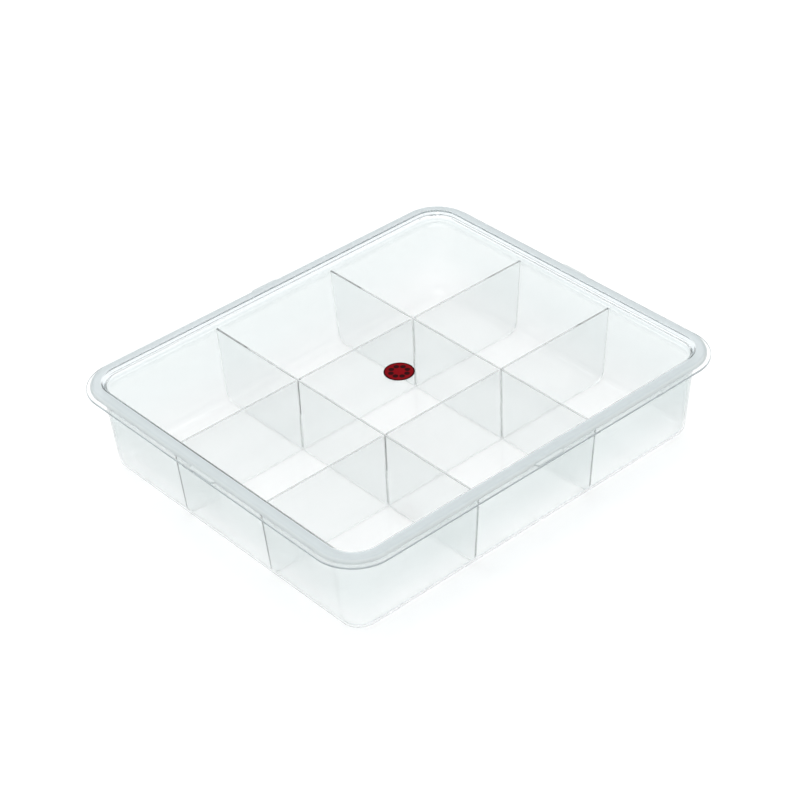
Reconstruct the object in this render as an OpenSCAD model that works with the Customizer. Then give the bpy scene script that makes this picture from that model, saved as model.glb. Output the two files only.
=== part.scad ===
// Clear compartment tray with a full-size lift-off lid for beads and other small craft parts.
// A drafted tray carries a slotted grid of four dividers under a lid whose panel is sunk into the
// tray's mouth. The origin is the centre of the tray's underside, +X runs along the length, +Z is up.

/* [Tray] */
// Inside length at the rim
mouth_l = 240.6; // [200:0.2:320]
// Inside width at the rim
mouth_w = 202.6; // [170:0.2:280]
// Inside corner radius at the rim
mouth_r = 14.5; // [13:0.5:30]
// Height from the underside to the top of the flange
tray_h = 50.2; // [32:0.2:65]
// Lean of the walls away from vertical, in degrees
draft = 5.1; // [1:0.1:6.5]
// Thickness of the floor, the walls and the flange
wall = 1.2; // [0.8:0.1:1.8]
// Inside radius where the walls meet the floor
floor_r = 5; // [3:0.5:7]
// Reach of the flange beyond the mouth
flange_w = 9.2; // [8.5:0.1:14]
// Radius under the flange where it leaves the wall
flange_r = 0.6; // [0.3:0.1:1.5]

/* [Lid] */
// Thickness of the lid
lid_t = 1.2; // [0.9:0.1:1.5]
// Depth of the lid's panel below the top of the flange
panel_drop = 2.3; // [1.5:0.1:5]
// Radius inside the panel's edge
panel_r = 0.9; // [0.4:0.1:1.2]
// Height of the lid's bead above the flange
bead_h = 2.8; // [2.6:0.1:5]
// Distance from the mouth to the bead's inner top edge
bead_in = 0.7; // [0.5:0.1:1.5]
// Distance from the mouth to the bead's outer face
bead_out = 7.1; // [6.6:0.1:8]
// Radius of the bead's outer shoulder
bead_r = 2.5; // [1.8:0.1:2.6]
// Radius of the bead's inner top edge
bead_edge_r = 0.9; // [0.4:0.1:1.2]
// Length of the thumb tab at the middle of each side
tab_l = 18; // [10:1:40]
// Reach of a thumb tab beyond the bead
tab_w = 1.8; // [1:0.1:2]
// Thickness of a thumb tab
tab_t = 1.0; // [0.6:0.1:1.5]

/* [Dividers] */
// Thickness of a divider
divider_t = 1.2; // [0.8:0.1:2]
// Length of the middle compartments, between the middles of the cross dividers
cell_l = 80; // [50:1:110]
// Width of the middle compartments, between the middles of the long dividers
cell_w = 67.2; // [40:0.2:90]
// Gap between the tops of the dividers and the lid's panel
lid_gap = 1.1; // [0.5:0.1:4]
// Lead-in at the mouth of each slot
slot_lead = 0.8; // [0.2:0.1:2]

/* [Label] */
// Diameter of the round label
label_d = 16.2; // [10:0.2:40]
// Thickness of the label
label_t = 0.2; // [0.1:0.05:0.4]

/* [Fits] */
// Gap between the walls and what stands in the mouth, on each side
mouth_fit = 0.3; // [0.2:0.05:0.6]
// Gap on each face of a slot, and between the ends of two slots
slot_fit = 0.15; // [0.1:0.05:0.4]

/* [Hidden] */
$fn = 96;
clear_plastic = [0.92, 0.95, 0.95, 0.5];
lid_plastic = [0.88, 0.92, 0.93, 0.5];
label_red = [0.56, 0.05, 0.09];

// Every rounded corner of the tray and the lid turns about the same four upright axes
span_x = mouth_l / 2 - mouth_r;
span_y = mouth_w / 2 - mouth_r;
// Largest turn that one facet of a rounded bend takes, in degrees
bend_step = 9;

// Levels: the panel's top, the dividers' top edge and their height
panel_z = tray_h - panel_drop;
divider_top = panel_z - lid_t - lid_gap;
divider_h = divider_top - wall;
divider_r = floor_r + 1;
slot_w = divider_t + 2 * slot_fit;
slot_d = divider_h / 2 + slot_fit;

// Distance of the walls' inner face from a corner axis, at height z
function wall_in(z) = mouth_r - (tray_h - z) * tan(draft);

function unit(v) = v / norm(v);
function left(v) = [-v[1], v[0]];
function turned(v, a) = [v[0] * cos(a) - v[1] * sin(a), v[0] * sin(a) + v[1] * cos(a)];
function turn(d0, d1) = atan2(d0[0] * d1[1] - d0[1] * d1[0], d0 * d1);
function reversed(list) = [for (i = [len(list) - 1:-1:0]) list[i]];

// Points round one bend of a path, moved by side to the left: the path comes from a, turns at
// p with radius r and goes on to b
function bend(a, p, b, r, side) =
    let (d0 = unit(p - a), angle = turn(d0, unit(b - p)), s = sign(angle),
         centre = p - d0 * r * tan(abs(angle) / 2) + left(d0) * s * r,
         arm = left(d0) * (side - s * r),
         steps = ceil(abs(angle) / bend_step))
    [for (i = [0:steps]) centre + turned(arm, angle * i / steps)];

// A path with rounded bends, moved by side to the left. radii has one radius for each inner point.
function track(path, radii, side = 0) =
    let (last = len(path) - 1)
    concat(
        [path[0] + left(unit(path[1] - path[0])) * side],
        [for (i = [1:last - 1]) each bend(path[i - 1], path[i], path[i + 1], radii[i - 1], side)],
        [path[last] + left(unit(path[last] - path[last - 1])) * side]);

// Outline of a sheet of thickness t whose middle follows the path
function sheet(path, radii, t) = concat(track(path, radii, t / 2), reversed(track(path, radii, -t / 2)));

// A section drawn as distance from the corner axes and height, carried round all four sides and
// corners. The section starts on the axes, and a plate from plate_z, as thick as t, closes the middle.
module carried_round(section, plate_z, t) {
    for (half = [0, 180]) rotate(half) {
        translate([span_x, span_y, 0]) rotate([90, 0, 0]) linear_extrude(2 * span_y) polygon(section);
        translate([-span_x, span_y, 0]) rotate([90, 0, 90]) linear_extrude(2 * span_x) polygon(section);
        translate([span_x, span_y, 0]) rotate_extrude(angle = 90) polygon(section);
        translate([-span_x, span_y, 0]) rotate(90) rotate_extrude(angle = 90) polygon(section);
    }
    translate([-span_x, -span_y, plate_z]) cube([2 * span_x, 2 * span_y, t]);
}

// Middle of the tray's sheet: along the floor, up the drafted wall and out along the flange
module tray() {
    mid = wall / 2;
    lean_out = mid / cos(draft);
    path = [[0, mid],
            [wall_in(mid) + lean_out, mid],
            [wall_in(tray_h - mid) + lean_out, tray_h - mid],
            [mouth_r + flange_w, tray_h - mid]];
    color(clear_plastic) carried_round(sheet(path, [floor_r + mid, flange_r + mid], wall), 0, wall);
}

// Middle of the lid's sheet: along the sunk panel, up inside the mouth, out and up to the bead,
// across its top and down to the flange
module lid() {
    mid = lid_t / 2;
    low = panel_z - mid;
    top = tray_h + bead_h - mid;
    plug = wall_in(low) - mouth_fit - mid / cos(draft);
    neck_z = tray_h + mid / 2;
    neck = plug + (neck_z - low) * tan(draft);
    lip = mouth_r + bead_in + mid / 2;
    outer = mouth_r + bead_out - mid;
    path = [[0, low], [plug, low], [neck, neck_z], [lip, top], [outer, top], [outer, tray_h]];
    radii = [panel_r + mid, mid, bead_edge_r, bead_r - mid];
    color(lid_plastic) {
        carried_round(sheet(path, radii, lid_t), low - mid, lid_t);
        for (side = [0:3]) rotate(90 * side)
            thumb_tab((side % 2 == 0 ? span_x : span_y) + mouth_r + bead_out);
    }
}

// A low tab with rounded ends that stands out of the bead's foot at distance d and lies on the flange.
// Its root ends halfway through the lid's skirt.
module thumb_tab(d) {
    root = lid_t / 2;
    translate([d, 0, tray_h]) linear_extrude(tab_t) difference() {
        union() {
            square([2 * tab_w, tab_l - 2 * tab_w], center = true);
            for (end = [-1, 1]) translate([0, end * (tab_l / 2 - tab_w)]) circle(tab_w);
        }
        translate([-tab_w - root, -tab_l / 2]) square([tab_w, tab_l]);
    }
}

// Slot that opens upwards from its closed end at the origin, with a lead-in at its mouth
module slot() {
    translate([-slot_w / 2, 0]) square([slot_w, slot_d + slot_lead]);
    polygon([[-slot_w / 2, slot_d - slot_lead], [slot_w / 2, slot_d - slot_lead],
             [slot_w / 2 + 2 * slot_lead, slot_d + slot_lead],
             [-slot_w / 2 - 2 * slot_lead, slot_d + slot_lead]]);
}

// Upright divider in the XZ plane. mouth is the tray's inside length along it, pitch the distance
// between its two slots, and the slots open upwards or, with from_below, downwards.
module divider(mouth, pitch, from_below) {
    reach = mouth / 2 - mouth_r - mouth_fit;
    foot = reach + wall_in(wall);
    head = reach + wall_in(divider_top);
    outline = track([[-head, divider_top], [-foot, wall], [foot, wall], [head, divider_top]],
                    [divider_r, divider_r]);
    middle = wall + divider_h / 2;
    rotate([90, 0, 0]) linear_extrude(divider_t, center = true) difference() {
        polygon(outline);
        for (x = [-pitch / 2, pitch / 2])
            if (from_below) translate([x, middle + slot_fit]) mirror([0, 1]) slot();
            else translate([x, middle - slot_fit]) slot();
    }
}

module long_divider(y) {
    color(clear_plastic) translate([0, y, 0]) divider(mouth_l, cell_l, false);
}

module cross_divider(x) {
    color(clear_plastic) translate([x, 0, 0]) rotate(90) divider(mouth_w, cell_w, true);
}

module label() {
    color(label_red) translate([0, 0, panel_z]) cylinder(h = label_t, d = label_d);
}

tray();
long_divider(-cell_w / 2);  // long_divider_front
long_divider(cell_w / 2);  // long_divider_back
cross_divider(-cell_l / 2);  // cross_divider_left
cross_divider(cell_l / 2);  // cross_divider_right
lid();
label();
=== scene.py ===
# %% [markdown]
# # A clear compartment tray with a recessed lid
#
# The object is a shallow moulded tray of clear polypropylene. A grid of four sheets makes nine
# compartments, and one lid covers them all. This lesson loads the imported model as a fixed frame
# and dresses it: the tray and the lid become smooth shells, the sheets get eased edges, the label
# gets its print, and every surface gets the finish of its real material.

import math

import bmesh
import bpy
from mathutils import Matrix, Vector
from mathutils.bvhtree import BVHTree
from mathutils.interpolate import poly_3d_calc


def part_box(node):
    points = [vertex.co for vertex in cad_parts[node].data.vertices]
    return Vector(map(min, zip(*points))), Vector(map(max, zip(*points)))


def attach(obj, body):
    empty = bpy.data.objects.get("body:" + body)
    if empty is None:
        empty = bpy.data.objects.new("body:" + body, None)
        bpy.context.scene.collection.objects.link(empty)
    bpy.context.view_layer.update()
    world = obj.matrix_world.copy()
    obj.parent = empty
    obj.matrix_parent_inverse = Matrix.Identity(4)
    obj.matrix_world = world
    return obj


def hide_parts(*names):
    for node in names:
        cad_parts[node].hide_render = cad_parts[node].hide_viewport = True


MM = 0.001
ML = 1e-6
# Two points this close are one point
SAME_POINT = 0.001 * MM

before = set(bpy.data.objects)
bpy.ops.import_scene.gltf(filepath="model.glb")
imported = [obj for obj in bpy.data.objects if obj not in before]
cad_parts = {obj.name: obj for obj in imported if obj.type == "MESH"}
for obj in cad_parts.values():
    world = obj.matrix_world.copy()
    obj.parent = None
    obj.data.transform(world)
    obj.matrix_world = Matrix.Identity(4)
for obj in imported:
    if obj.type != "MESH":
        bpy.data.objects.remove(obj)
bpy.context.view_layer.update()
print("nodes:", sorted(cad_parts))

# %% [markdown]
# ## The camera
#
# The photograph was taken from above the front left corner with a long lens. Its place was worked
# out from the straight lines of the grid: every divider gives one line along X or Y, and their two
# vanishing points give the direction of view and the focal length. The turn about the line of
# sight is small, and it is kept because it tilts the whole outline.

# %% Set the camera
IMAGE_SIDE = 800
FOCAL_PX = 2318.2
AZIMUTH = math.radians(-40.352)
ELEVATION = math.radians(35.597)
ROLL = math.radians(-2.863)
CAMERA_PLACE = Vector((-0.63255, -0.74403, 0.72907))

camera_data = bpy.data.cameras.new("camera")
camera_data.sensor_width = 36.0
camera_data.lens = camera_data.sensor_width * FOCAL_PX / IMAGE_SIDE
camera_data.clip_start = 0.05
camera_data.clip_end = 20.0
camera = bpy.data.objects.new("camera", camera_data)
bpy.context.scene.collection.objects.link(camera)
bpy.context.scene.camera = camera
turn = Matrix.Rotation(AZIMUTH, 3, "Z") @ Matrix.Rotation(math.pi / 2 - ELEVATION, 3, "X")
turn = turn @ Matrix.Rotation(ROLL, 3, "Z")
camera.matrix_world = Matrix.Translation(CAMERA_PLACE) @ turn.to_4x4()
print("lens:", round(camera_data.lens, 2), "mm, looking along", [round(-v, 3) for v in turn.col[2]])

# %% [markdown]
# ## Colours and nodes
#
# Colours are written as people pick them, in sRGB hex, and one function turns them to the linear
# values that the shaders add and multiply. A second small function adds a node to any tree with
# its settings and its links, so that each material and each Geometry Nodes tree below reads as a
# list of what it is made of. A third starts an empty material.

# %% Helpers for a colour, a node and a material
def linear(hex_colour):
    """The linear RGBA of an sRGB colour such as "#f0f4f2"."""
    shares = [int(hex_colour[i:i + 2], 16) / 255 for i in (1, 3, 5)]
    return [s / 12.92 if s <= 0.04045 else ((s + 0.055) / 1.055) ** 2.4 for s in shares] + [1.0]


def add(tree, kind, inputs=None, **settings):
    """Adds a node. Each input is a value, a socket to link from, or a node, for its first output."""
    node = tree.nodes.new(kind)
    for name, value in settings.items():
        setattr(node, name, value)
    for key, value in (inputs or {}).items():
        if isinstance(value, bpy.types.Node):
            value = value.outputs[0]
        if isinstance(value, bpy.types.NodeSocket):
            tree.links.new(value, node.inputs[key])
        else:
            node.inputs[key].default_value = value
    return node


def new_material(name):
    """An empty material and its tree."""
    material = bpy.data.materials.new(name)
    material.use_nodes = True
    material.node_tree.nodes.clear()
    return material, material.node_tree


print("mid grey in linear light:", round(linear("#808080")[0], 3))

# %% [markdown]
# ## The floor
#
# The tray stands on a sweep of white paper. It is one large square, a tenth of a millimetre below
# the tray's foot, so that the two faces never fall together. Uncoated paper scatters light evenly
# and has no gloss. To the eye it is a flat white, and a mottling that can hardly be seen keeps it
# from being quite even.

# %% A floor of white paper
FLOOR_DROP = 0.1 * MM
FLOOR_SIZE = 12.0
# The noise counts across the whole floor, so one mottle is 12 m / 900, about 13 mm, wide
MOTTLES_ACROSS = 900.0


def plain_object(name, mesh):
    """Puts a mesh into the scene, at the origin."""
    piece = bpy.data.objects.new(name, mesh)
    bpy.context.scene.collection.objects.link(piece)
    return piece


floor_material, tree = new_material("matt_white_paper_sweep")
mottling = add(tree, "ShaderNodeTexNoise", {"Scale": MOTTLES_ACROSS, "Detail": 2.0})
tone = add(tree, "ShaderNodeValToRGB", {"Fac": mottling.outputs["Fac"]})
tone.color_ramp.elements[0].color = linear("#f7f8f8")
tone.color_ramp.elements[1].color = linear("#fbfbfb")
paper = add(tree, "ShaderNodeBsdfPrincipled", {
    "Base Color": tone.outputs["Color"], "Roughness": 0.9, "Specular IOR Level": 0.0})
add(tree, "ShaderNodeOutputMaterial", {"Surface": paper.outputs["BSDF"]})

half = FLOOR_SIZE / 2
mesh = bpy.data.meshes.new("floor")
mesh.from_pydata([(-half, -half, -FLOOR_DROP), (half, -half, -FLOOR_DROP),
                  (half, half, -FLOOR_DROP), (-half, half, -FLOOR_DROP)], [], [(0, 1, 2, 3)])
mesh.materials.append(floor_material)
floor = plain_object("floor", mesh)
print("floor:", FLOOR_SIZE, "m square, one mottle", round(FLOOR_SIZE / MOTTLES_ACROSS / MM), "mm wide")

# %% [markdown]
# ## The light
#
# Clear plastic has almost no colour of its own: it shows what is round it, bent and mirrored. So
# the light is what photographers call a bright field. The floor and a large soft box overhead are
# white, and the room is nearly white from a quarter of the way up. Towards its horizon it fades to
# a cool mid grey, which the edges and the rounded rim pick up as thin grey lines.

# %% The room and the soft box
HORIZON_GREY = "#9ca7af"
ROOM_WHITE = "#fbfbfb"
# How high a direction of length 1 points where the room has become white: 24 degrees up
WHITE_FROM = 0.4
SOFT_BOX_PLACE = Vector((0.0, 0.3, 2.2))
SOFT_BOX_AIM = Vector((0.0, 0.0, 0.0))
SOFT_BOX_SIZE = 2.4
SOFT_BOX_WATTS = 24.0

world = bpy.data.worlds.new("room")
bpy.context.scene.world = world
world.use_nodes = True
tree = world.node_tree
towards = add(tree, "ShaderNodeSeparateXYZ", {0: add(tree, "ShaderNodeTexCoord").outputs["Generated"]})
rise = add(tree, "ShaderNodeMapRange", {
    "Value": towards.outputs["Z"], "From Min": 0.0, "From Max": WHITE_FROM},
    interpolation_type="SMOOTHSTEP")
room_tone = add(tree, "ShaderNodeMix", {
    "Factor": rise, "A": linear(HORIZON_GREY), "B": linear(ROOM_WHITE)}, data_type="RGBA")
tree.links.new(room_tone.outputs["Result"], tree.nodes["Background"].inputs["Color"])

lamp = bpy.data.lights.new("overhead", "AREA")
lamp.shape = "SQUARE"
lamp.size = SOFT_BOX_SIZE
lamp.energy = SOFT_BOX_WATTS
soft_box = bpy.data.objects.new("overhead", lamp)
soft_box.location = SOFT_BOX_PLACE
soft_box.rotation_euler = (SOFT_BOX_AIM - SOFT_BOX_PLACE).to_track_quat("-Z", "Y").to_euler()
bpy.context.scene.collection.objects.link(soft_box)
print("soft box:", SOFT_BOX_WATTS, "W,", round((SOFT_BOX_AIM - SOFT_BOX_PLACE).length, 2), "m away")

# %% [markdown]
# ## Long light paths
#
# Light that enters the edge of a sheet is mirrored to and fro between its faces some twenty times
# before it leaves at the foot, so paths may be long. The usual blurring of such paths, which saves
# time but loses their light, is off. The picture shows the tones as they are, without a film look,
# so that white paper stays white.

# %% Let light pass through many faces
MOST_BOUNCES = 64

cycles = bpy.context.scene.cycles
cycles.max_bounces = MOST_BOUNCES
cycles.transmission_bounces = MOST_BOUNCES
cycles.glossy_bounces = MOST_BOUNCES
cycles.blur_glossy = 0.0
bpy.context.scene.view_settings.view_transform = "Standard"
print("a path may bounce", cycles.max_bounces, "times")

# %% [markdown]
# ## A line with bends
#
# The tray and the lid are moulded from one thickness of plastic, so each is drawn as the line
# through the middle of its sheet: a few corner points and a bend radius for each. A bend is worked
# out as an arc that leaves one stretch and joins the next without a kink. The same arc can be moved
# to the left or to the right, which gives the sheet's two faces with the right radius each.

# %% Bends and moved lines
BEND_STEP = math.radians(5)


def quarter_left(v):
    return Vector((-v.y, v.x))


def turned(v, angle):
    return Vector((v.x * math.cos(angle) - v.y * math.sin(angle),
                   v.x * math.sin(angle) + v.y * math.cos(angle)))


def bend(a, p, b, radius, side):
    """Points round the bend at p of a line from a to b, moved by side to the left."""
    d0, d1 = (p - a).normalized(), (b - p).normalized()
    angle = math.atan2(d0.x * d1.y - d0.y * d1.x, d0.dot(d1))
    sign = math.copysign(1, angle)
    centre = p - d0 * radius * math.tan(abs(angle) / 2) + quarter_left(d0) * sign * radius
    arm = quarter_left(d0) * (side - sign * radius)
    steps = max(2, math.ceil(abs(angle) / BEND_STEP))
    return [centre + turned(arm, angle * i / steps) for i in range(steps + 1)]


def track(path, radii, side=0.0):
    """A line with rounded bends, moved by side to the left."""
    points = [path[0] + quarter_left((path[1] - path[0]).normalized()) * side]
    for i, radius in enumerate(radii, 1):
        points += bend(path[i - 1], path[i], path[i + 1], radius, side)
    return points + [path[-1] + quarter_left((path[-1] - path[-2]).normalized()) * side]


hook = track([Vector((0, 0)), Vector((1, 0)), Vector((1, 1))], [0.5])
print("a line with one square bend has", len(hook), "points")

# %% [markdown]
# ## A section of sheet
#
# The outline of a sheet is its middle line moved half a thickness to either side. The free edge is
# rounded, as a trimmed and flamed edge is. Next to every bend a spare point is kept on the flat
# run. It holds the smooth shading flat right up to the bend, which matters on clear plastic, where
# a shading normal that is a degree off bends what is seen through it.

# %% Sheets made from lines
SPARE = 0.3 * MM
LONG_RUN = 4 * SPARE
EDGE_R = 0.35 * MM
EDGE_STEPS = 4


def rounded_end(left, right, ahead, radius):
    """Takes the free edge of a sheet round from its left face to its right face."""
    across = (right - left).normalized()
    first = left + across * radius - ahead * radius
    second = right - across * radius - ahead * radius
    angles = [math.pi / 2 * i / EDGE_STEPS for i in range(EDGE_STEPS + 1)]
    return ([first - across * radius * math.cos(a) + ahead * radius * math.sin(a) for a in angles]
            + [second + ahead * radius * math.cos(a) + across * radius * math.sin(a) for a in angles])


def with_spares(points):
    """Adds a point just inside each end of every long straight run."""
    kept = [points[0]]
    for a, b in zip(points, points[1:]):
        along = b - a
        if along.length > LONG_RUN:
            kept += [a + along.normalized() * SPARE, b - along.normalized() * SPARE]
        kept.append(b)
    return kept


def sheet_section(path, radii, thickness, edge_radius):
    """The outline of a sheet that follows the path, from its upper face round the free edge and back."""
    path = [Vector(p) for p in path]
    upper, lower = track(path, radii, thickness / 2), track(path, radii, -thickness / 2)
    ahead = (path[-1] - path[-2]).normalized()
    edge = rounded_end(upper[-1], lower[-1], ahead, edge_radius)
    return with_spares(upper[:-1] + edge + lower[-2::-1])


strip = sheet_section([(0, 0), (10 * MM, 0)], [], 1.2 * MM, EDGE_R)
print("the section of a plain strip has", len(strip), "points")

# %% [markdown]
# ## Carrying a section round the box
#
# Both shells are the same kind of section carried round four straight sides and four corners that
# turn about fixed upright axes. That is a rule, so a Geometry Nodes tree makes it. Its inputs are
# the sizes that a maker would name: where the corners' axes stand, how finely a corner is stepped,
# and at which heights the flat plate in the middle lies.

# %% The tree and its inputs
carried_round = bpy.data.node_groups.new("carried_round", "GeometryNodeTree")
for name, kind in (("Section", "NodeSocketGeometry"), ("Half Length", "NodeSocketFloat"),
                   ("Half Width", "NodeSocketFloat"), ("Corner Steps", "NodeSocketInt"),
                   ("Spare", "NodeSocketFloat"), ("Plate Top", "NodeSocketFloat"),
                   ("Plate Under", "NodeSocketFloat"), ("Finish", "NodeSocketMaterial")):
    carried_round.interface.new_socket(name, in_out="INPUT", socket_type=kind)
carried_round.interface.new_socket("Shell", in_out="OUTPUT", socket_type="NodeSocketGeometry")
tree = carried_round
given = add(tree, "NodeGroupInput").outputs
print("inputs:", [socket.name for socket in given if socket.name])

# %% [markdown]
# ### Stations on the way round
#
# A grid has one column for each station on the way round and one row for each point of the section.
# A grid point knows only its own number, so its column, its row, its corner and its step round that
# corner are counted from it. Half is added before a division is rounded down, so that no count slips
# to the one below. Each corner has one spare station before and one after its own, for the same flat
# shading as in the section.

# %% Number the stations
SPARE_STATIONS = 2

rows = add(tree, "GeometryNodeAttributeDomainSize", {"Geometry": given["Section"]},
           component="MESH").outputs["Point Count"]
per_corner = add(tree, "ShaderNodeMath", {0: given["Corner Steps"], 1: 1.0 + SPARE_STATIONS},
                 operation="ADD")
stations = add(tree, "ShaderNodeMath", {0: per_corner, 1: 4.0}, operation="MULTIPLY")
columns = add(tree, "ShaderNodeMath", {0: stations, 1: 1.0}, operation="ADD")
grid = add(tree, "GeometryNodeMeshGrid", {"Vertices X": columns, "Vertices Y": rows})

index = add(tree, "GeometryNodeInputIndex")
safe_index = add(tree, "ShaderNodeMath", {0: index, 1: 0.5}, operation="ADD")
columns_passed = add(tree, "ShaderNodeMath", {0: safe_index, 1: rows}, operation="DIVIDE")
column = add(tree, "ShaderNodeMath", {0: columns_passed}, operation="FLOOR")
column_start = add(tree, "ShaderNodeMath", {0: column, 1: rows}, operation="MULTIPLY")
row = add(tree, "ShaderNodeMath", {0: index, 1: column_start}, operation="SUBTRACT")

station = add(tree, "ShaderNodeMath", {0: column, 1: stations}, operation="MODULO")
safe_station = add(tree, "ShaderNodeMath", {0: station, 1: 0.5}, operation="ADD")
corners_passed = add(tree, "ShaderNodeMath", {0: safe_station, 1: per_corner}, operation="DIVIDE")
corner = add(tree, "ShaderNodeMath", {0: corners_passed}, operation="FLOOR")
corner_start = add(tree, "ShaderNodeMath", {0: corner, 1: per_corner}, operation="MULTIPLY")
station_here = add(tree, "ShaderNodeMath", {0: station, 1: corner_start}, operation="SUBTRACT")
step = add(tree, "ShaderNodeMath", {0: station_here, 1: SPARE_STATIONS / 2}, operation="SUBTRACT")
step_on = add(tree, "ShaderNodeMath", {0: step, 1: 0.0}, operation="MAXIMUM")
own_step = add(tree, "ShaderNodeMath", {0: step_on, 1: given["Corner Steps"]}, operation="MINIMUM")
print("nodes so far:", len(tree.nodes))

# %% [markdown]
# ### From a station to a place
#
# Each grid point looks its section point up by its row, is turned to its station's angle and moved
# to its corner's axis. A spare station has the angle of its neighbour and stands a little to one
# side of it, except on the axis itself, where all stations of a corner meet in one point.

# %% Turn and move the section's points
part_turn = add(tree, "ShaderNodeMath", {0: own_step, 1: given["Corner Steps"]}, operation="DIVIDE")
turns = add(tree, "ShaderNodeMath", {0: corner, 1: part_turn}, operation="ADD")
angle = add(tree, "ShaderNodeMath", {0: turns, 1: math.pi / 2}, operation="MULTIPLY")

section_point = add(tree, "GeometryNodeSampleIndex", {
    "Geometry": given["Section"], "Index": row, "Value": add(tree, "GeometryNodeInputPosition")},
    data_type="FLOAT_VECTOR", domain="POINT").outputs["Value"]
drawn = add(tree, "ShaderNodeSeparateXYZ", {0: section_point}).outputs
off_axis = add(tree, "ShaderNodeMath", {0: drawn["X"], 1: SAME_POINT}, operation="GREATER_THAN")
past_own = add(tree, "ShaderNodeMath", {0: step, 1: own_step}, operation="SUBTRACT")
spare_way = add(tree, "ShaderNodeMath", {0: past_own, 1: given["Spare"]}, operation="MULTIPLY")
beside = add(tree, "ShaderNodeMath", {0: spare_way, 1: off_axis}, operation="MULTIPLY")
arm = add(tree, "ShaderNodeCombineXYZ", {"X": drawn["X"], "Y": beside, "Z": drawn["Z"]})
swung = add(tree, "ShaderNodeVectorRotate", {"Vector": arm, "Angle": angle}, rotation_type="Z_AXIS")

corner_middle = add(tree, "ShaderNodeMath", {0: corner, 1: 0.5}, operation="ADD")
diagonal = add(tree, "ShaderNodeMath", {0: corner_middle, 1: math.pi / 2}, operation="MULTIPLY")
along = add(tree, "ShaderNodeMath", {0: diagonal}, operation="COSINE")
across = add(tree, "ShaderNodeMath", {0: diagonal}, operation="SINE")
way_x = add(tree, "ShaderNodeMath", {0: along}, operation="SIGN")
way_y = add(tree, "ShaderNodeMath", {0: across}, operation="SIGN")
axis_x = add(tree, "ShaderNodeMath", {0: way_x, 1: given["Half Length"]}, operation="MULTIPLY")
axis_y = add(tree, "ShaderNodeMath", {0: way_y, 1: given["Half Width"]}, operation="MULTIPLY")
axis = add(tree, "ShaderNodeCombineXYZ", {"X": axis_x, "Y": axis_y})
place = add(tree, "ShaderNodeVectorMath", {0: swung, 1: axis}, operation="ADD")
walls = add(tree, "GeometryNodeSetPosition", {"Geometry": grid.outputs["Mesh"], "Position": place})
walls = add(tree, "GeometryNodeFlipFaces", {"Mesh": walls})
print("nodes so far:", len(tree.nodes))

# %% [markdown]
# ### Closing the shell
#
# Two flat plates, one facing up and one facing down, close the middle between the axes. Then
# everything is merged into one closed skin, which is what light needs to find its way in and out
# of a piece of clear plastic.

# %% Plates, one skin and the finish
length = add(tree, "ShaderNodeMath", {0: given["Half Length"], 1: 2.0}, operation="MULTIPLY")
width = add(tree, "ShaderNodeMath", {0: given["Half Width"], 1: 2.0}, operation="MULTIPLY")
plate = add(tree, "GeometryNodeMeshGrid", {
    "Size X": length, "Size Y": width, "Vertices X": 2, "Vertices Y": 2})
top_level = add(tree, "ShaderNodeCombineXYZ", {"Z": given["Plate Top"]})
plate_top = add(tree, "GeometryNodeTransform", {"Geometry": plate, "Translation": top_level})
under_level = add(tree, "ShaderNodeCombineXYZ", {"Z": given["Plate Under"]})
plate_under = add(tree, "GeometryNodeTransform", {"Geometry": plate, "Translation": under_level})
plate_under = add(tree, "GeometryNodeFlipFaces", {"Mesh": plate_under})

joined = add(tree, "GeometryNodeJoinGeometry")
for part in (walls, plate_top, plate_under):
    tree.links.new(part.outputs[0], joined.inputs[0])
merged = add(tree, "GeometryNodeMergeByDistance", {"Geometry": joined, "Distance": SAME_POINT})
smooth = add(tree, "GeometryNodeSetShadeSmooth", {"Geometry": merged})
real = add(tree, "GeometryNodeRealizeInstances", {"Geometry": smooth})
finished = add(tree, "GeometryNodeSetMaterial", {"Geometry": real, "Material": given["Finish"]})
add(tree, "NodeGroupOutput", {"Shell": finished})
print("the tree has", len(tree.nodes), "nodes")

# %% [markdown]
# ## From a tree to a plain mesh
#
# A tree works on an object as a modifier, and its inputs are set there by each socket's identifier,
# because a name may be used twice. The result is then baked: what the modifier makes becomes the
# object's own mesh, and the modifier goes. A closed mesh has a volume and no open edges, so both are
# measured.

# %% Helpers that bake and measure a shell
CORNER_STEPS = 24


def baked(piece):
    """Turns what the modifiers make into the piece's own mesh and takes them off."""
    graph = bpy.context.evaluated_depsgraph_get()
    mesh = bpy.data.meshes.new_from_object(piece.evaluated_get(graph))
    piece.modifiers.clear()
    piece.data = mesh
    return piece


def with_inputs(piece, tree, values):
    """Puts a tree on a piece, sets its inputs by name and bakes the result."""
    carrier = piece.modifiers.new(tree.name, "NODES")
    carrier.node_group = tree
    for item in tree.interface.items_tree:
        if item.in_out == "INPUT" and item.name in values:
            carrier[item.identifier] = values[item.name]
    return baked(piece)


def report_mesh(name, mesh):
    """Prints how many faces a mesh has, what it holds and whether it is closed."""
    shape = bmesh.new()
    shape.from_mesh(mesh)
    volume = shape.calc_volume(signed=True)
    open_edges = sum(not edge.is_manifold for edge in shape.edges)
    shape.free()
    print(name, "has", len(mesh.polygons), "faces,", round(volume / ML, 2), "ml and", open_edges,
          "open edges")


def carry_round(name, section, half_length, half_width, plate_top, plate_under, finish):
    """A closed shell from a section whose points are distances from the corner axes and heights."""
    mesh = bpy.data.meshes.new(name)
    points = [(p.x, 0.0, p.y) for p in section]
    mesh.from_pydata(points, [(i, i + 1) for i in range(len(points) - 1)], [])
    piece = plain_object(name, mesh)
    with_inputs(piece, carried_round, {
        "Half Length": half_length, "Half Width": half_width, "Corner Steps": CORNER_STEPS,
        "Spare": SPARE, "Plate Top": plate_top, "Plate Under": plate_under, "Finish": finish})
    report_mesh(name, piece.data)
    return piece


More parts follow.
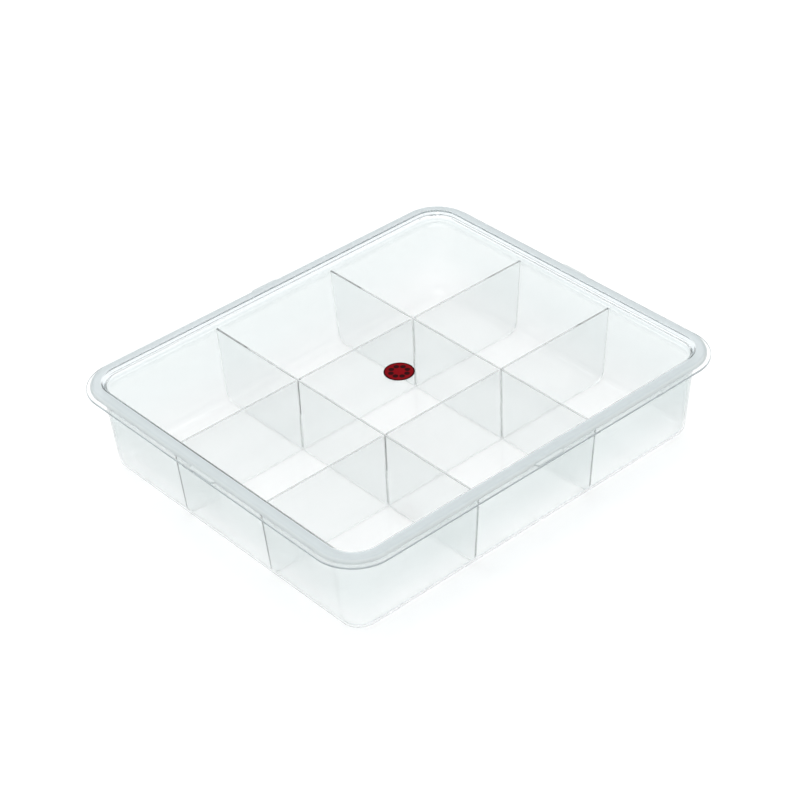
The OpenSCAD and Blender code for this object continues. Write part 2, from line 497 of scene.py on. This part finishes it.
print("stations on the way round:", 4 * (CORNER_STEPS + 1 + SPARE_STATIONS))

# %% [markdown]
# ## Where the plastic is cloudy
#
# Moulded polypropylene isn't clear everywhere. Where it cooled slowly it is cloudy, and where the
# mould was left matt it is satin. Such a zone could be painted on by hand, but it follows from the
# shape: it is given by its edges, which are heights, or reaches from the upright axes that the
# box's corners turn about. A reach is the same all the way round a side and its corners.

# %% A mask for a zone
FLANGE = 9.2 * MM
MOUTH_R = 14.5 * MM

tray_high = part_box("tray")[1]
half_length = tray_high.x - FLANGE - MOUTH_R
half_width = tray_high.y - FLANGE - MOUTH_R
tray_height = tray_high.z


def zone_mask(tree, place, edges):
    """One inside a zone, zero outside. An edge is what is measured, where it starts and where it is full."""
    sizes = add(tree, "ShaderNodeVectorMath", {0: place}, operation="ABSOLUTE")
    beyond = add(tree, "ShaderNodeVectorMath", {0: sizes, 1: (half_length, half_width, 1.0)},
                 operation="SUBTRACT")
    outward = add(tree, "ShaderNodeVectorMath", {0: beyond, 1: (0.0, 0.0, 0.0)}, operation="MAXIMUM")
    reach = add(tree, "ShaderNodeVectorMath", {0: outward}, operation="LENGTH")
    measured = {"reach": reach.outputs["Value"],
                "height": add(tree, "ShaderNodeSeparateXYZ", {0: place}).outputs["Z"]}
    mask = 1.0
    for measure, start, full in edges:
        side = add(tree, "ShaderNodeMapRange", {
            "Value": measured[measure], "From Min": start, "From Max": full},
            interpolation_type="SMOOTHSTEP")
        mask = add(tree, "ShaderNodeMath", {0: side, 1: mask}, operation="MULTIPLY")
    return mask


print("the corners turn about axes", round(2 * half_length / MM, 1), "by", round(2 * half_width / MM, 1),
      "mm apart")

# %% [markdown]
# ## Clear polypropylene
#
# All the clear pieces are polypropylene, which isn't as clear as glass. Three things show it. The
# base colour takes a little light at each face. The roughness blurs what lies behind, so that a near
# edge is crisp and a far one fades. The inside absorbs more the longer the way through, and leaves a
# cool green-grey: next to nothing straight through a wall, but half of the light or more along a
# whole sheet, which is why cut edges look grey. Noise as wide as the flow marks of a moulding varies
# the blur a little. A satin zone scatters a share of the light instead of passing it.

# %% The clear finish
POLYPROPYLENE_IOR = 1.49
EDGE_TINT = "#5e7471"
FLOW_MARKS = 30 * MM
UNEVENNESS = 0.3


def clear_polypropylene(name, tint, haze, density, zones=()):
    """The finish of a clear piece. A zone has a tint, a haze and a share that stays clear of its own."""
    material, tree = new_material(name)
    place = add(tree, "ShaderNodeTexCoord").outputs["Object"]
    colour, blur, clear = linear(tint), haze, 1.0
    for zone in zones:
        mask = zone_mask(tree, place, zone["edges"])
        colour = add(tree, "ShaderNodeMix", {"Factor": mask, "A": colour, "B": linear(zone["tint"])},
                     data_type="RGBA").outputs["Result"]
        blur = add(tree, "ShaderNodeMix", {"Factor": mask, "A": blur, "B": zone["haze"]},
                   data_type="FLOAT").outputs["Result"]
        clear = add(tree, "ShaderNodeMix", {"Factor": mask, "A": clear, "B": zone["clear"]},
                    data_type="FLOAT").outputs["Result"]
    marks = add(tree, "ShaderNodeTexNoise", {"Vector": place, "Scale": 1 / FLOW_MARKS, "Detail": 1.0})
    uneven = add(tree, "ShaderNodeMapRange", {
        "Value": marks.outputs["Fac"], "To Min": 1 - UNEVENNESS, "To Max": 1 + UNEVENNESS})
    blur = add(tree, "ShaderNodeMath", {0: blur, 1: uneven}, operation="MULTIPLY")
    plastic = add(tree, "ShaderNodeBsdfPrincipled", {
        "Base Color": colour, "Roughness": blur, "IOR": POLYPROPYLENE_IOR, "Transmission Weight": clear})
    inside = add(tree, "ShaderNodeVolumeAbsorption", {"Color": linear(EDGE_TINT), "Density": density})
    add(tree, "ShaderNodeOutputMaterial", {
        "Surface": plastic.outputs["BSDF"], "Volume": inside.outputs["Volume"]})
    return material


print("flow marks are", round(FLOW_MARKS / MM), "mm wide and vary the blur by", UNEVENNESS)

# %% [markdown]
# ## The tray
#
# The tray is the deep shell. Its walls lean out by five degrees so that it leaves its mould and so
# that empty trays nest. The rim is turned outwards into a thin flange that stiffens it and carries
# the lid. All of that is one line with two bends.

# %% The tray's section
WALL = 1.2 * MM
DRAFT = math.radians(5.1)
FLOOR_R = 5.0 * MM
FLANGE_R = 0.6 * MM


def wall_inside(z):
    """Distance of the wall's inner face from a corner's axis at height z."""
    return MOUTH_R - (tray_height - z) * math.tan(DRAFT)


middle = WALL / 2
lean = middle / math.cos(DRAFT)
flange_edge = MOUTH_R + FLANGE
tray_path = [(0, middle),
             (wall_inside(middle) + lean, middle),
             (wall_inside(tray_height - middle) + lean, tray_height - middle),
             (flange_edge, tray_height - middle)]
tray_section = sheet_section(tray_path, [FLOOR_R + middle, FLANGE_R + middle], WALL, EDGE_R)
print("the tray's section has", len(tray_section), "points")

# %% [markdown]
# ### The tray's finish
#
# It is injected polypropylene from a polished mould. To the eye the floor is clear. The walls are
# a little hazier, and their colour turns greyer from low down up to just under the rim. The trimmed
# edge of the flange is satin and shows as a thin pale grey line.

# %% Make the tray
# Hazier walls whose colour turns greyer with height, up to just under the rim
cloudy_walls = {
    "edges": [("reach", 3 * MM, 9 * MM), ("height", -10 * MM, 34 * MM),
              ("height", tray_height - 1 * MM, tray_height - 3 * MM)],
    "tint": "#e6ebeb", "haze": 0.16, "clear": 1.0}
satin_flange_edge = {
    "edges": [("reach", flange_edge - 0.5 * MM, flange_edge - 0.2 * MM)],
    "tint": "#bac2c5", "haze": 0.3, "clear": 0.4}
tray_finish = clear_polypropylene("moulded_clear_polypropylene", tint="#fdfdfd", haze=0.08, density=6.0,
                                  zones=[cloudy_walls, satin_flange_edge])
tray = carry_round("tray_shell", tray_section, half_length, half_width, WALL, 0.0, tray_finish)
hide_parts("tray")
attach(tray, "tray")

# %% [markdown]
# ## The lid
#
# The lid is the same idea with more bends: a panel sunk into the mouth, a short wall up to the
# rim, a flared flank, a flat bead with a round shoulder and a skirt that stands on the flange. The
# skirt ends a hair above the flange, so that the two clear faces don't fall together.

# %% The lid's section
LID_T = 1.2 * MM
PANEL_DROP = 2.3 * MM
PANEL_R = 0.9 * MM
MOUTH_FIT = 0.3 * MM
BEAD_IN = 0.7 * MM
BEAD_OUT = 7.1 * MM
BEAD_R = 2.5 * MM
BEAD_EDGE_R = 0.9 * MM
TOUCH = 0.04 * MM

middle = LID_T / 2
panel_top = tray_height - PANEL_DROP
low, top = panel_top - middle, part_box("lid")[1].z - middle
plug = wall_inside(low) - MOUTH_FIT - middle / math.cos(DRAFT)
neck_z = tray_height + middle / 2
neck = plug + (neck_z - low) * math.tan(DRAFT)
lip = MOUTH_R + BEAD_IN + middle / 2
outer = MOUTH_R + BEAD_OUT - middle
lid_path = [(0, low), (plug, low), (neck, neck_z), (lip, top), (outer, top),
            (outer, tray_height + TOUCH)]
lid_radii = [PANEL_R + middle, middle, BEAD_EDGE_R, BEAD_R - middle]
lid_section = sheet_section(lid_path, lid_radii, LID_T, EDGE_R)
print("the lid's section has", len(lid_section), "points")

# %% [markdown]
# ### The lid's finish
#
# The panel is polished and nearly clear, so the grid shows through it. The mould was left matt along
# the bead: its flat top and its skirt scatter most of the light, and to the eye they are a satin
# band of cool grey round a clear window. The flank between them is clear with a faint blue.

# %% Make the lid's shell
clear_flank = {
    "edges": [("reach", plug, plug + 0.6 * MM)],
    "tint": "#f3f7f9", "haze": 0.08, "clear": 1.0}
satin_top = {
    "edges": [("height", top - 0.6 * MM, top - 0.1 * MM), ("reach", lip + 0.1 * MM, lip + 0.5 * MM)],
    "tint": "#c5cdcf", "haze": 0.4, "clear": 0.25}
satin_skirt = {
    "edges": [("reach", outer - 0.6 * MM, outer - 0.1 * MM),
              ("height", tray_height + 0.1 * MM, tray_height + 0.4 * MM)],
    "tint": "#d2d8d8", "haze": 0.4, "clear": 0.25}
lid_finish = clear_polypropylene("moulded_polypropylene_with_satin_bead", tint="#fdfdfd", haze=0.05,
                                 density=6.0, zones=[clear_flank, satin_top, satin_skirt])
lid = carry_round("lid_shell", lid_section, half_length, half_width, panel_top, panel_top - LID_T,
                  lid_finish)

# %% [markdown]
# ## Thumb tabs
#
# At the middle of each side a low tab stands out of the bead's foot. It is what a thumb lifts the
# lid by. One tab is drawn, with rounded ends and eased upper edges, and its root goes halfway into
# the skirt.

# %% Draw one tab
TAB_L = 18.0 * MM
TAB_W = 1.8 * MM
TAB_T = 1.0 * MM
TAB_ROOT = LID_T / 2
TAB_EASE = 0.25 * MM
TAB_END_STEPS = 8


def drawn_tab():
    """One tab along Y, with the bead's face at x = 0 and its foot at z = 0."""
    quarter = [math.pi / 2 * i / TAB_END_STEPS for i in range(TAB_END_STEPS + 1)]
    straight = TAB_L / 2 - TAB_W
    end = [(TAB_W * math.cos(a), straight + TAB_W * math.sin(a)) for a in quarter]
    other_end = [(x, -y) for x, y in reversed(end)]
    root = [(-TAB_ROOT, TAB_L / 2), (-TAB_ROOT, -TAB_L / 2)]
    shape = bmesh.new()
    foot = shape.faces.new([shape.verts.new((x, y, 0)) for x, y in other_end + end + root])
    made = bmesh.ops.extrude_face_region(shape, geom=[foot])
    lifted = [v for v in made["geom"] if isinstance(v, bmesh.types.BMVert)]
    bmesh.ops.translate(shape, verts=lifted, vec=(0, 0, TAB_T - 2 * TOUCH))
    bmesh.ops.recalc_face_normals(shape, faces=shape.faces)
    upper = [e for e in shape.edges if all(v in lifted and v.co.x > -TAB_ROOT / 2 for v in e.verts)]
    bmesh.ops.bevel(shape, geom=upper, offset=TAB_EASE, segments=3, profile=0.5, affect="EDGES")
    mesh = bpy.data.meshes.new("thumb_tab")
    shape.to_mesh(mesh)
    shape.free()
    return plain_object("thumb_tab", mesh)


tab = drawn_tab()
report_mesh("a tab", tab.data)

# %% [markdown]
# ### Four tabs round the lid
#
# What repeats is a Geometry Nodes tree again. Four points stand at the middles of the sides, each
# carries a copy of the tab turned to face outwards, and a Boolean joins the copies to the shell, so
# that each tab grows out of the skirt as one plastic with no face between them.

# %% The tree that joins the tabs
tabs_round_lid = bpy.data.node_groups.new("tabs_round_the_lid", "GeometryNodeTree")
for name, kind in (("Shell", "NodeSocketGeometry"), ("Tab", "NodeSocketObject"),
                   ("Reach Along", "NodeSocketFloat"), ("Reach Across", "NodeSocketFloat"),
                   ("Level", "NodeSocketFloat"), ("Finish", "NodeSocketMaterial")):
    tabs_round_lid.interface.new_socket(name, in_out="INPUT", socket_type=kind)
tabs_round_lid.interface.new_socket("Lid", in_out="OUTPUT", socket_type="NodeSocketGeometry")
tree = tabs_round_lid
given = add(tree, "NodeGroupInput").outputs

angle = add(tree, "ShaderNodeMath", {0: add(tree, "GeometryNodeInputIndex"), 1: math.pi / 2},
            operation="MULTIPLY")
along = add(tree, "ShaderNodeMath", {0: angle}, operation="COSINE")
across = add(tree, "ShaderNodeMath", {0: angle}, operation="SINE")
seat_x = add(tree, "ShaderNodeMath", {0: along, 1: given["Reach Along"]}, operation="MULTIPLY")
seat_y = add(tree, "ShaderNodeMath", {0: across, 1: given["Reach Across"]}, operation="MULTIPLY")
seat = add(tree, "ShaderNodeCombineXYZ", {"X": seat_x, "Y": seat_y, "Z": given["Level"]})
seats = add(tree, "GeometryNodePoints", {"Count": 4, "Position": seat})
one_tab = add(tree, "GeometryNodeObjectInfo", {"Object": given["Tab"]}).outputs["Geometry"]
quarter_turn = add(tree, "ShaderNodeCombineXYZ", {"Z": angle})
tabs = add(tree, "GeometryNodeInstanceOnPoints", {
    "Points": seats, "Instance": one_tab, "Rotation": quarter_turn})
real = add(tree, "GeometryNodeRealizeInstances", {"Geometry": tabs})
joined = add(tree, "GeometryNodeMeshBoolean", operation="UNION", solver="MANIFOLD")
tree.links.new(given["Shell"], joined.inputs["Mesh 2"])
tree.links.new(real.outputs[0], joined.inputs["Mesh 2"])
finished = add(tree, "GeometryNodeSetMaterial", {
    "Geometry": joined.outputs["Mesh"], "Material": given["Finish"]})
add(tree, "NodeGroupOutput", {"Lid": finished})
print("the tree has", len(tree.nodes), "nodes")

# %% [markdown]
# ### Shading after a Boolean
#
# A Boolean cuts the faces it meets into slivers, and smooth shading worked out from slivers is
# streaky. So each corner that still lies on the old shell takes that shell's own normal, blended
# from the corners of the face it lies on.

# %% Keep the shell's own shading
# The cosine of the angle up to which two faces count as facing the same way
SAME_WAY = 0.9


def take_shading(piece, shell):
    """Gives the faces of a piece that still lie on a shell that shell's own smooth normals."""
    shell_faces = BVHTree.FromPolygons([v.co for v in shell.vertices],
                                       [list(face.vertices) for face in shell.polygons])
    normals = [Vector(corner.vector) for corner in piece.data.corner_normals]
    kept = 0
    for face in piece.data.polygons:
        for corner in face.loop_indices:
            point = piece.data.vertices[piece.data.loops[corner].vertex_index].co
            place, flat, index, gap = shell_faces.find_nearest(point)
            if gap < SAME_POINT and flat.dot(face.normal) > SAME_WAY:
                around = shell.polygons[index].vertices
                shares = poly_3d_calc([shell.vertices[i].co for i in around], place)
                normals[corner] = sum((shell.vertex_normals[i].vector * share
                                       for i, share in zip(around, shares)), Vector()).normalized()
                kept += 1
    piece.data.normals_split_custom_set(normals)
    print("shading taken over at", kept, "of", len(normals), "corners")


print("faces up to", round(math.degrees(math.acos(SAME_WAY))), "degrees apart count as facing one way")

# %% [markdown]
# ### The finished lid
#
# The tabs go on with their feet a hair above the flange. Edges sharper than thirty degrees, such as
# where a tab meets the skirt, stay crisp, and all else is smooth.

# %% Join the tabs to the lid
CREASE = math.radians(30)

shell_alone = lid.data.copy()
bead_face = MOUTH_R + BEAD_OUT
with_inputs(lid, tabs_round_lid, {
    "Tab": tab, "Reach Along": half_length + bead_face, "Reach Across": half_width + bead_face,
    "Level": tray_height + 2 * TOUCH, "Finish": lid_finish})
bpy.data.objects.remove(tab)
lid.data.set_sharp_from_angle(angle=CREASE)
take_shading(lid, shell_alone)
report_mesh("the lid with its tabs", lid.data)
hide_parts("lid")
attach(lid, "lid")

# %% [markdown]
# ## The dividers
#
# The grid is an egg crate: two long sheets with slots from above and two cross sheets with slots
# from below. Each is drawn as an outline that leans with the walls, is rounded below to clear the
# bend of the tray's floor, and has two slots with a lead-in at the mouth.

# %% The outline of a divider
SHEET_T = 1.2 * MM
LID_GAP = 1.1 * MM
SLOT_FIT = 0.15 * MM
SLOT_LEAD = 0.8 * MM
FOOT_R = FLOOR_R + 1.0 * MM

divider_top = panel_top - LID_T - LID_GAP
divider_middle = (WALL + divider_top) / 2
foot_z = WALL + TOUCH


def divider_outline(span, pitch, from_below):
    """The outline in X and Z, with slots pitch apart that open upwards or, from_below, downwards."""
    foot, head = [span - MOUTH_FIT + wall_inside(z) for z in (WALL, divider_top)]
    right = bend(Vector((0, foot_z)), Vector((foot, foot_z)), Vector((head, divider_top)), FOOT_R, 0.0)
    left = [Vector((-p.x, p.y)) for p in reversed(right)]
    upper_corners = [Vector((head, divider_top)), Vector((-head, divider_top))]
    mouth_z, way = (foot_z, -1) if from_below else (divider_top, 1)
    end_z = divider_middle - way * SLOT_FIT
    slot_half = SHEET_T / 2 + SLOT_FIT
    lead_in = slot_half + SLOT_LEAD
    slot = [(-lead_in, mouth_z), (-slot_half, mouth_z - way * SLOT_LEAD), (-slot_half, end_z),
            (slot_half, end_z), (slot_half, mouth_z - way * SLOT_LEAD), (lead_in, mouth_z)]
    slots = [Vector((pitch / 2 * s + x, z)) for s in (-1, 1) for x, z in slot]
    if from_below:
        return left + slots + right + upper_corners
    return left + right + upper_corners[:1] + slots[::-1] + upper_corners[1:]


print("a divider is", round((divider_top - foot_z) / MM, 2), "mm high")

# %% [markdown]
# ### From an outline to a sheet
#
# The outline is filled, given the sheet's thickness and turned into place. A real cut edge is never
# quite sharp, so every rim is eased: the tiny bevel catches the light as a fine line.

# %% A sheet with eased rims
SHEET_EASE = 0.15 * MM


def divider_sheet(name, outline, place, angle, finish):
    """A sheet of the outline's shape, drawn in XZ, then turned and moved."""
    shape = bmesh.new()
    face = shape.faces.new([shape.verts.new((p.x, -SHEET_T / 2, p.y)) for p in outline])
    made = bmesh.ops.extrude_face_region(shape, geom=[face])
    moved = [v for v in made["geom"] if isinstance(v, bmesh.types.BMVert)]
    bmesh.ops.translate(shape, verts=moved, vec=(0, SHEET_T, 0))
    bmesh.ops.recalc_face_normals(shape, faces=shape.faces)
    rims = [e for e in shape.edges if abs(e.verts[0].co.y - e.verts[1].co.y) < SAME_POINT]
    bmesh.ops.bevel(shape, geom=rims, offset=SHEET_EASE, segments=2, profile=0.5, affect="EDGES",
                    clamp_overlap=True)
    mesh = bpy.data.meshes.new(name)
    shape.to_mesh(mesh)
    shape.free()
    mesh.transform(Matrix.Translation(place) @ Matrix.Rotation(angle, 4, "Z"))
    mesh.materials.append(finish)
    report_mesh(name, mesh)
    return plain_object(name, mesh)


print("rims are eased by", round(SHEET_EASE / MM, 2), "mm")

# %% [markdown]
# ### Four sheets in their slots
#
# The dividers are thin flat sheets of the same polypropylene. To the eye they are clear with a trace
# of grey, and each edge shows as a darker line, because the light in it has come a long way.

# %% Make the dividers
CELL_LENGTH = 80.0 * MM
CELL_WIDTH = 67.2 * MM

divider_finish = clear_polypropylene("clear_polypropylene_sheet", tint="#f3f5f5", haze=0.06, density=3.5)
long_outline = divider_outline(half_length, CELL_LENGTH, from_below=False)
cross_outline = divider_outline(half_width, CELL_WIDTH, from_below=True)
for node, outline, place, angle in (
        ("long_divider_front", long_outline, (0, -CELL_WIDTH / 2, 0), 0.0),
        ("long_divider_back", long_outline, (0, CELL_WIDTH / 2, 0), 0.0),
        ("cross_divider_left", cross_outline, (-CELL_LENGTH / 2, 0, 0), math.pi / 2),
        ("cross_divider_right", cross_outline, (CELL_LENGTH / 2, 0, 0), math.pi / 2)):
    piece = divider_sheet(node + "_sheet", outline, place, angle, divider_finish)
    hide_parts(node)
    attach(piece, node)

# %% [markdown]
# ## The label
#
# A round vinyl sticker marks the middle of the lid. It is printed in two inks and laminated matt, so
# to the eye it is a flat deep red with next to no shine. The print is generic: a dark rim round a
# red field, with a ring of eight beads for what is kept inside. It is worked out from the place on
# the disc: the distance from the centre gives the rim, and one eighth of the ring, repeated, gives
# the beads.

# %% The printed vinyl
LABEL_RIM = 0.8 * MM
BEADS = 8
BEAD_RING = 4.5 * MM
BEAD_RADIUS = 1.5 * MM
FIELD_RED = "#78050f"
DARK_RED = "#2c0408"

label_low, label_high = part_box("label")
label_radius = label_high.x
sector = 2 * math.pi / BEADS

label_finish, tree = new_material("printed_vinyl_sticker")
place = add(tree, "ShaderNodeSeparateXYZ", {0: add(tree, "ShaderNodeTexCoord").outputs["Object"]}).outputs
x_squared = add(tree, "ShaderNodeMath", {0: place["X"], 1: 2.0}, operation="POWER")
y_squared = add(tree, "ShaderNodeMath", {0: place["Y"], 1: 2.0}, operation="POWER")
squares = add(tree, "ShaderNodeMath", {0: x_squared, 1: y_squared}, operation="ADD")
from_centre = add(tree, "ShaderNodeMath", {0: squares}, operation="SQRT")
rim = add(tree, "ShaderNodeMath", {0: from_centre, 1: label_radius - LABEL_RIM}, operation="GREATER_THAN")

round_disc = add(tree, "ShaderNodeMath", {0: place["Y"], 1: place["X"]}, operation="ARCTAN2")
in_sector = add(tree, "ShaderNodeMath", {0: round_disc, 1: sector}, operation="FLOORED_MODULO")
angle = add(tree, "ShaderNodeMath", {0: in_sector, 1: sector / 2}, operation="SUBTRACT")
cosine = add(tree, "ShaderNodeMath", {0: angle}, operation="COSINE")
sine = add(tree, "ShaderNodeMath", {0: angle}, operation="SINE")
outward = add(tree, "ShaderNodeMath", {0: from_centre, 1: cosine}, operation="MULTIPLY")
along = add(tree, "ShaderNodeMath", {0: outward, 1: BEAD_RING}, operation="SUBTRACT")
across = add(tree, "ShaderNodeMath", {0: from_centre, 1: sine}, operation="MULTIPLY")
along_squared = add(tree, "ShaderNodeMath", {0: along, 1: 2.0}, operation="POWER")
across_squared = add(tree, "ShaderNodeMath", {0: across, 1: 2.0}, operation="POWER")
squares = add(tree, "ShaderNodeMath", {0: along_squared, 1: across_squared}, operation="ADD")
from_bead = add(tree, "ShaderNodeMath", {0: squares}, operation="SQRT")
bead = add(tree, "ShaderNodeMath", {0: from_bead, 1: BEAD_RADIUS}, operation="LESS_THAN")

dark = add(tree, "ShaderNodeMath", {0: rim, 1: bead}, operation="MAXIMUM")
ink = add(tree, "ShaderNodeMix", {"Factor": dark, "A": linear(FIELD_RED), "B": linear(DARK_RED)},
          data_type="RGBA")
vinyl = add(tree, "ShaderNodeBsdfPrincipled", {
    "Base Color": ink.outputs["Result"], "Roughness": 0.45, "IOR": 1.53, "Specular IOR Level": 0.02})
add(tree, "ShaderNodeOutputMaterial", {"Surface": vinyl.outputs["BSDF"]})
print("label:", round(2 * label_radius / MM, 1), "mm across, with", BEADS, "printed beads")

# %% [markdown]
# ### The sticker's disc
#
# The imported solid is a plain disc, so it is replaced by one whose cut edge is slightly eased and
# catches a thin line of light. Three rings of points, from the foot up, give it its shape.

# %% Make the label
LABEL_EASE = 0.06 * MM
LABEL_STEPS = 72

profile = [(label_radius, label_low.z + TOUCH), (label_radius, label_high.z - LABEL_EASE),
           (label_radius - LABEL_EASE, label_high.z)]
shape = bmesh.new()
rings = [[shape.verts.new((r * math.cos(2 * math.pi * i / LABEL_STEPS),
                           r * math.sin(2 * math.pi * i / LABEL_STEPS), z))
          for i in range(LABEL_STEPS)] for r, z in profile]
for lower, upper in zip(rings, rings[1:]):
    for i in range(LABEL_STEPS):
        j = (i + 1) % LABEL_STEPS
        shape.faces.new((lower[i], lower[j], upper[j], upper[i]))
shape.faces.new(rings[-1])
shape.faces.new(rings[0][::-1])
mesh = bpy.data.meshes.new("label_disc")
shape.to_mesh(mesh)
shape.free()
mesh.materials.append(label_finish)
report_mesh("the label", mesh)
label = plain_object("label_disc", mesh)
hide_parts("label")
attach(label, "lid")
